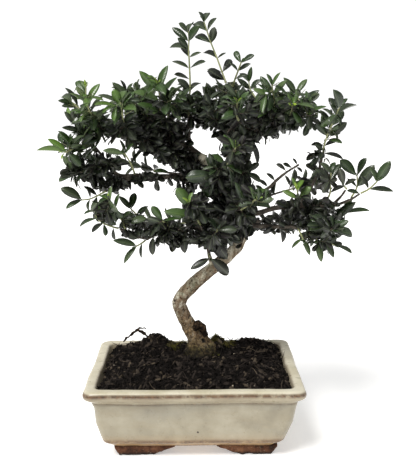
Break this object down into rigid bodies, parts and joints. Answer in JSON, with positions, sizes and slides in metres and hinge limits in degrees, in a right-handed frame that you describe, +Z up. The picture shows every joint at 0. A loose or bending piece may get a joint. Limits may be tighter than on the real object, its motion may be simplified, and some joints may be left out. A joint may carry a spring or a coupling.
{
  "type": "wild olive bonsai",
  "caption": "Potted bonsai with a bent pale trunk, thin branches with opposite small leaves, dark mounded soil and a cream glazed rectangular pot on four feet.",
  "frame": {"origin": "middle of the whole object's box, on the table under the feet", "axes": "+Z up, X along the pot's long side, +Y to the back as the picture sees it"},
  "size_m": [0.3226, 0.1636, 0.4107],
  "materials": {
    "pot": "cream glaze with brown breaks at the edges and dark pinholes, feet unglazed",
    "soil": "rough dark bark and peat mix",
    "screen": "black moulded mesh",
    "bark": "pale grey bark with brown specks",
    "leaf": "dark green with a grey sheen, fresh green on young tips"
  },
  "bodies": {
    "root": {"drain_screen_left": "screen", "drain_screen_right": "screen", "pot": "pot", "shoot_apex": "leaf", "shoot_apex_right": "leaf", "shoot_back_left_low_1": "leaf", "shoot_back_left_low_tip": "leaf", "shoot_back_left_mid_tip": "leaf", "shoot_back_left_top_1": "leaf", "shoot_back_left_top_tip": "leaf", "shoot_back_right_low_tip": "leaf", "shoot_back_right_mid_tip": "leaf", "shoot_back_right_top_tip": "leaf", "shoot_back_top_tip": "leaf", "shoot_front_high": "leaf", "shoot_front_low": "leaf", "shoot_front_mid": "leaf", "shoot_inner_fork": "leaf", "shoot_inner_leader": "leaf", "shoot_inner_right": "leaf", "shoot_inner_trunk": "leaf", "shoot_inner_upper_left": "leaf", "shoot_inner_upright": "leaf", "shoot_leader_end": "leaf", "shoot_leader_rise": "leaf", "shoot_left_crest": "leaf", "shoot_left_edge": "leaf", "shoot_left_hanging": "leaf", "shoot_left_low_end": "leaf", "shoot_left_low_inner": "leaf", "shoot_left_low_rise": "leaf", "shoot_left_low_twig": "leaf", "shoot_left_mid_rise": "leaf", "shoot_left_rim": "leaf", "shoot_left_top": "leaf", "shoot_left_top_twig": "leaf", "shoot_left_under": "leaf", "shoot_low_right_end": "leaf", "shoot_low_right_under": "leaf", "shoot_pale_low": "leaf", "shoot_pale_mid": "leaf", "shoot_pale_tip": "leaf", "shoot_right_hanging": "leaf", "shoot_right_hanging_in": "leaf", "shoot_right_hanging_out": "leaf", "shoot_right_low_end": "leaf", "shoot_right_low_front": "leaf", "shoot_right_low_rise": "leaf", "shoot_right_low_side": "leaf", "shoot_right_low_top": "leaf", "shoot_right_shoot": "leaf", "shoot_upper_left_rise": "leaf", "shoot_upper_right_end": "leaf", "shoot_upper_right_front": "leaf", "shoot_upper_right_out": "leaf", "shoot_upper_right_rise": "leaf", "shoot_upper_right_top": "leaf", "shoot_upright": "leaf", "soil": "soil", "wood": "bark"}
  },
  "joints": []
}
